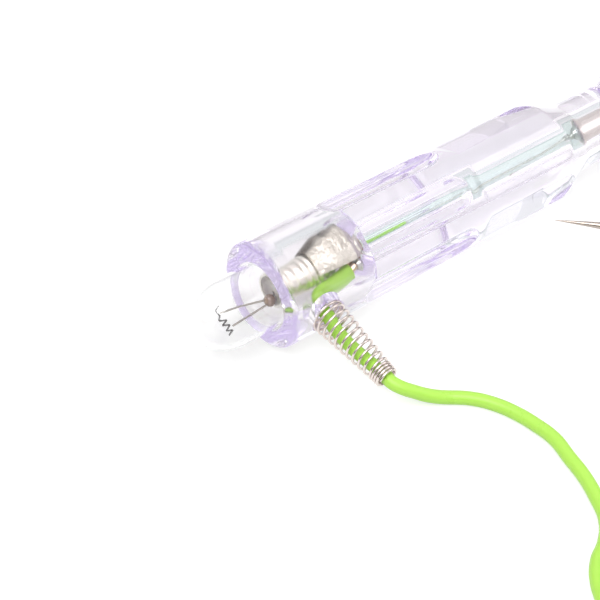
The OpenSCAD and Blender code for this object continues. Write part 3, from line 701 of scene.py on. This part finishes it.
cement_outline = (
    [(CAP_START + 0.1, GLASS_NECK_R + 0.045), (GLASS_END + 1.35, GLASS_NECK_R + 0.045)]
    + [(GLASS_END + 1.65, GLASS_NECK_R - 0.6), (GLASS_END + 1.65, 0)]
    + [(GLASS_END - PRESS_LEN + 0.03, 0), (GLASS_END - PRESS_LEN + 0.03, GLASS_NECK_R - 0.01)]
    + [(CAP_START + 0.1, GLASS_NECK_R - 0.01)]
)
cement = piece_from("basing_cement", spun(cement_outline, 64, closed=True))
pale_cement = finish("cement", (0.93, 0.87, 0.81), 0.9, vary=0.05, grain=3000, bump=0.2)
settle(cement, pale_cement, "cement", "cap_cement")
dress(finish("black_glass", (0.02, 0.02, 0.025), 0.15, grain=2000), "cap_insulator")
solder = finish("solder", (0.70, 0.70, 0.68), 0.3, metal=1.0, vary=0.1, grain=1500, bump=0.2)
dress(solder, "cap_contact", "link_solder", "lead_solder", "probe_solder")

# Bracket: bent nickelled sheet, uneven from its forming, with a painted brown shade along its upper far
# side. It grips the cap and carries the contact, a rivet between two fibre washers.
PAINTED_SHADE_BROWN, SHADED_SIDE = (0.13, 0.10, 0.08, 1), (0, 0.80, 0.60)
SHADE_FROM, SHADE_FULL, SHADE_MOST, SHADE_RAGGED = 0.80, 1.0, 0.95, 0.5
sheet = finish(
    "bracket_metal", (0.85, 0.81, 0.71), 0.45, metal=1.0, vary=0.06, grain=480,
    bump=1.0, relief=1.1,
)
sheet_tree = sheet.node_tree
sheet_spot = sheet_tree.nodes.new("ShaderNodeTexCoord")
outward = sheet_tree.nodes.new("ShaderNodeVectorMath")
outward.operation = "MULTIPLY"
outward.inputs[1].default_value = (0, 1, 1)
sheet_tree.links.new(sheet_spot.outputs["Object"], outward.inputs[0])
one_long = sheet_tree.nodes.new("ShaderNodeVectorMath")
one_long.operation = "NORMALIZE"
sheet_tree.links.new(outward.outputs[0], one_long.inputs[0])
sideways = sheet_tree.nodes.new("ShaderNodeVectorMath")
sideways.operation = "DOT_PRODUCT"
sideways.inputs[1].default_value = SHADED_SIDE
sheet_tree.links.new(one_long.outputs[0], sideways.inputs[0])
# Noise makes the edge of the painted shade ragged
shade_noise = sheet_tree.nodes.new("ShaderNodeTexNoise")
shade_noise.inputs["Scale"].default_value = 400
sheet_tree.links.new(sheet_spot.outputs["Object"], shade_noise.inputs["Vector"])
ragged_shade = sheet_tree.nodes.new("ShaderNodeMath")
ragged_shade.operation = "MULTIPLY_ADD"
ragged_shade.inputs[1].default_value = SHADE_RAGGED
sheet_tree.links.new(shade_noise.outputs["Fac"], ragged_shade.inputs[0])
sheet_tree.links.new(sideways.outputs["Value"], ragged_shade.inputs[2])
how_shaded = sheet_tree.nodes.new("ShaderNodeMapRange")
how_shaded.inputs["From Min"].default_value = SHADE_FROM
how_shaded.inputs["From Max"].default_value = SHADE_FULL
how_shaded.inputs["To Max"].default_value = SHADE_MOST
sheet_tree.links.new(ragged_shade.outputs[0], how_shaded.inputs["Value"])
# The plating darkens to the painted brown shade where the surface faces the upper far side
painted_shade = sheet_tree.nodes.new("ShaderNodeMix")
painted_shade.data_type = "RGBA"
painted_shade.inputs[7].default_value = PAINTED_SHADE_BROWN
sheet_tree.links.new(how_shaded.outputs[0], painted_shade.inputs[0])
plated = sheet_tree.nodes["Principled BSDF"].inputs["Base Color"]
sheet_tree.links.new(plated.links[0].from_socket, painted_shade.inputs[6])
sheet_tree.links.new(painted_shade.outputs[2], plated)
dress(sheet, "lamp_bracket")
fibre = finish("fibre", (0.42, 0.25, 0.14), 0.8, vary=0.2, grain=4000, bump=0.4)
dress(fibre, "inner_washer", "outer_washer")
dress(finish("rivet_brass", (0.80, 0.64, 0.38), 0.28, metal=1.0, grain=1500), "contact_rivet")

# Link wire: tinned wire in a green sleeve, soldered to the rivet. It lies on the bottom of
# the channel, bare beyond the sleeve, and ends in the probe's tail.
RIVET_END = 16.0
LINK_START, LINK_LEN = RIVET_END + 1.7, 9.0
SLEEVE_R, CORE_R, LINK_GAP = 0.8, 0.4, 0.03
LINK_LOW, BARE_LOW = SLEEVE_R + LINK_GAP - CHANNEL_R, CORE_R + LINK_GAP - CHANNEL_R


def on_axis(s, z=0.0):
    """A place on the handle's axis, or this far above it, in millimetres."""
    return Vector((s - HANDLE_LEN, 0, z))


sleeve_path = [
    on_axis(LINK_START, LINK_LOW * 0.5), on_axis(LINK_START + 2.5, LINK_LOW),
    on_axis(LINK_START + LINK_LEN, LINK_LOW),
]
sleeve = wire("link_sleeve", sleeve_path, SLEEVE_R, sides=5, smooth=False)
settle(sleeve, pvc, "green_pvc", "link_insulation")
core = wire("link_core", [
    on_axis(RIVET_END + 0.05), on_axis(RIVET_END + 0.85),
    on_axis(LINK_START - 0.38, LINK_LOW * 0.42),
    *sleeve_path, on_axis(LINK_START + LINK_LEN + 0.4, LINK_LOW),
    on_axis(LINK_START + LINK_LEN + 3, BARE_LOW), on_axis(PROBE_TAIL - 6, BARE_LOW),
    on_axis(PROBE_TAIL - 1.5), on_axis(PROBE_TAIL + 2.2),
], CORE_R, smooth=False)
tinned = finish("tinned_wire", (0.80, 0.77, 0.74), 0.3, metal=1.0, vary=0.08, grain=2500)
settle(core, tinned, "tinned_wire", "link_wire")

# The lead inside the tester: it comes in through the spring and the wall, bends forward
# beside the cap, and its stripped strands are soldered to the bracket's edge.
LEAD_ORBIT, BEND_R, LEAD_IN, LEAD_CLIMB = 3.75, 1.5, 6.4, 20.0
SPRING_NECK = SPRING_TIP - 1.2


def around(s, r, angle):
    """A place beside the lamp's cap: station, off the axis, degrees down from the -Y side."""
    a = math.radians(angle)
    return Vector((s - HANDLE_LEN, -r * math.cos(a), -r * math.sin(a)))


held = [from_hole(0, 0, SPRING_TIP)]
for k in range(8, -1, -1):
    f = k / 8
    slack = math.sin(math.pi * f ** 0.7)
    held.append(from_hole(-0.55 * slack, -0.35 * slack, GRIP_R + f * (SPRING_NECK - GRIP_R)))
held.append(from_hole(0, 0, LEAD_ORBIT + BEND_R + 0.8))
for degrees in (0, 30, 60, 90):
    a = math.radians(degrees)
    held.append(from_hole(BEND_R * (1 - math.cos(a)), 0, LEAD_ORBIT + BEND_R * (1 - math.sin(a))))
for f in (0.35, 0.7, 0.95, 1):
    climb = math.degrees(HOLE_DROOP) - LEAD_CLIMB * min(1, f / 0.95)
    held.append(around(HOLE_AT + BEND_R + (LEAD_IN - BEND_R) * f, LEAD_ORBIT, climb))
inner = wire("held_lead", held, LEAD_D / 2, sides=5)
settle(inner, pvc, "green_pvc", "lead_inner")
copper = finish("copper", (0.80, 0.62, 0.50), 0.3, metal=1.0, vary=0.12, grain=2500)
dress(copper, "lead_strands")

# Strain relief: a conical spring of nickelled steel wire, its wide close turns seated in
# the handle's wall and its last close turns snug round the lead.
SPRING_WIRE, SPRING_WIDE, SPRING_NARROW = 0.42, 5.6, 3.5
# Its seated, open and close turns: how many, and their pitch
TURNS = ((4, 0.58), (9.5, 1.15), (4, 0.46))
SPRING_LEN = sum(turns * pitch for turns, pitch in TURNS)
seat_len = TURNS[0][0] * TURNS[0][1]
STEPS_A_TURN = 20
rings = []
height = 0.0
turn = 0.0
for turns, pitch in TURNS:
    for k in range(round(turns * STEPS_A_TURN)):
        f = max(0, (height - seat_len) / (SPRING_LEN - seat_len))
        r = ((1 - f) * SPRING_WIDE + f * SPRING_NARROW - SPRING_WIRE) / 2
        a = 2 * math.pi * turn
        out = SEAT_FLOOR + SPRING_WIRE / 2 + height
        rings.append(from_hole(r * math.cos(a), r * math.sin(a), out))
        height += pitch / STEPS_A_TURN
        turn += 1 / STEPS_A_TURN
spring = wire("strain_relief_spring", rings, SPRING_WIRE / 2, sides=2, smooth=False)
spring_steel = finish("spring_steel", (0.74, 0.66, 0.63), 0.2, metal=1.0, vary=0.06, grain=1500)
settle(spring, spring_steel, "spring_steel", "strain_spring")

# Probe: a ground steel shaft with a long point. Its tail is knurled where the handle was
# moulded to it.
steel = finish("steel", (0.76, 0.71, 0.67), 0.35, metal=1.0, vary=0.05, grain=1800, bump=0.03)
TAIL_R, PROBE_R, CUP_R, CUP_DEPTH = 1.9, 1.5, 0.45, 2.5
PROBE_END, POINT_LEN, TIP_R = HANDLE_LEN + 50, 20, 0.08
POINT_START = PROBE_END - POINT_LEN
KNURL_START, KNURL_END = HANDLE_LEN - 20, HANDLE_LEN - 6
KNURL_DEPTH, KNURL_RIDGES, KNURL_PITCH = 0.06, 16, 4.2
shaft_outline = (
    [(PROBE_TAIL + CUP_DEPTH, 0), (PROBE_TAIL + CUP_DEPTH, CUP_R), (PROBE_TAIL, CUP_R)]
    + [(PROBE_TAIL, TAIL_R - 0.4), (PROBE_TAIL + 0.4, TAIL_R)]
    + [(s, TAIL_R) for s in span(PROBE_TAIL + 0.6, HANDLE_LEN - 0.3, 0.2)]
    + [(HANDLE_LEN - 0.1, TAIL_R), (HANDLE_LEN, PROBE_R)]
    + [(s, PROBE_R) for s in span(HANDLE_LEN + 2, POINT_START - 1, 3)]
    + [(POINT_START - 0.3, PROBE_R), (POINT_START + 0.4, PROBE_R - 0.04)]
    + [(POINT_START + d, PROBE_R - d * (PROBE_R - TIP_R) / POINT_LEN) for d in range(1, 20, 3)]
    + [(PROBE_END - 0.1, TIP_R), (PROBE_END, 0)]
)
bm = spun(shaft_outline, 64)
for vert in bm.verts:
    s = vert.co.x / MM + HANDLE_LEN
    r = math.hypot(vert.co.y, vert.co.z) / MM
    if r > TAIL_R - 0.02 and KNURL_START < s < KNURL_END:
        a = KNURL_RIDGES * math.atan2(vert.co.z, vert.co.y)
        ridge = math.cos(a + s * KNURL_PITCH) * math.cos(a - s * KNURL_PITCH)
        new = r - KNURL_DEPTH + KNURL_DEPTH * ridge
        vert.co.y *= new / r
        vert.co.z *= new / r
shaft = piece_from("steel_probe", bm)
settle(shaft, steel, "steel", "probe_shaft")

# Needle probe on the lead's far end: a ground needle in a ribbed grip of the lead's own
# yellow-green plastic. It lies on the surface, its point beside the handle.
NEEDLE_R, NEEDLE_POINT, NEEDLE_TIP_R, NEEDLE_LEN = 1.0, 13.6, 0.03, 29.95


def on_needle_line(outline, steps):
    """Spins an outline of (distance from the tip, radius) about the needle's line."""
    bm = spun([(d + HANDLE_LEN, r) for d, r in outline], steps)
    laid = Matrix.Translation(on_needle(0) * MM) @ Matrix.Rotation(NEEDLE_YAW, 4, "Z")
    bmesh.ops.transform(bm, matrix=laid, verts=bm.verts)
    return bm


needle_outline = (
    [(0, 0), (0.03, NEEDLE_TIP_R)]
    + [(d, NEEDLE_TIP_R + (NEEDLE_R - NEEDLE_TIP_R) * d / NEEDLE_POINT)
       for d in span(1, NEEDLE_POINT - 0.3, 1.3)]
    + [(NEEDLE_POINT, NEEDLE_R - 0.01), (NEEDLE_POINT + 0.5, NEEDLE_R)]
    + [(d, NEEDLE_R) for d in span(16, 29, 3)]
    + [(NEEDLE_LEN - 0.25, NEEDLE_R), (NEEDLE_LEN, NEEDLE_R - 0.25), (NEEDLE_LEN, 0)]
)
needle = piece_from("needle_pin", on_needle_line(needle_outline, 48))
dark_steel = finish("needle_steel", (0.46, 0.40, 0.36), 0.25, metal=1.0, vary=0.05, grain=1800)
settle(needle, dark_steel, "steel", "needle")
GRIP_START, HOLLOW_R, HOLLOW_END = 18.0, NEEDLE_R + 0.02, NEEDLE_LEN + 0.05
RIB, RIBS, RIB_PITCH = 0.35, 3, 2.6
RIB_SHAPE = (
    (0, 0), (0.15, 0.12), (0.35, 0.3), (0.55, RIB),
    (1.05, RIB), (1.25, 0.3), (1.45, 0.12), (1.6, 0),
)
ribs_at = GRIP_START + 0.3 * (GRIP_END - GRIP_START)
body_r = NEEDLE_GRIP_R - RIB
grip_outline = (
    [(HOLLOW_END, 0), (HOLLOW_END, HOLLOW_R), (GRIP_START, HOLLOW_R), (GRIP_START, body_r - 0.85)]
    + [(GRIP_START + 0.2, body_r - 0.68), (GRIP_START + 1.5, body_r - 0.3)]
    + [(GRIP_START + d, body_r) for d in (3, 5, 8)]
    + [(ribs_at + RIB_PITCH * k + d, body_r + up) for k in range(RIBS) for d, up in RIB_SHAPE]
    + [(ribs_at + 9, body_r), (GRIP_END - 6, 1.6)]
    + [(GRIP_END - 0.2, 1.27), (GRIP_END, 1.15), (GRIP_END, 0)]
)
grip = piece_from("needle_holder", on_needle_line(grip_outline, 64))
settle(grip, pvc, "green_pvc", "needle_grip")

bpy.context.view_layer.update()
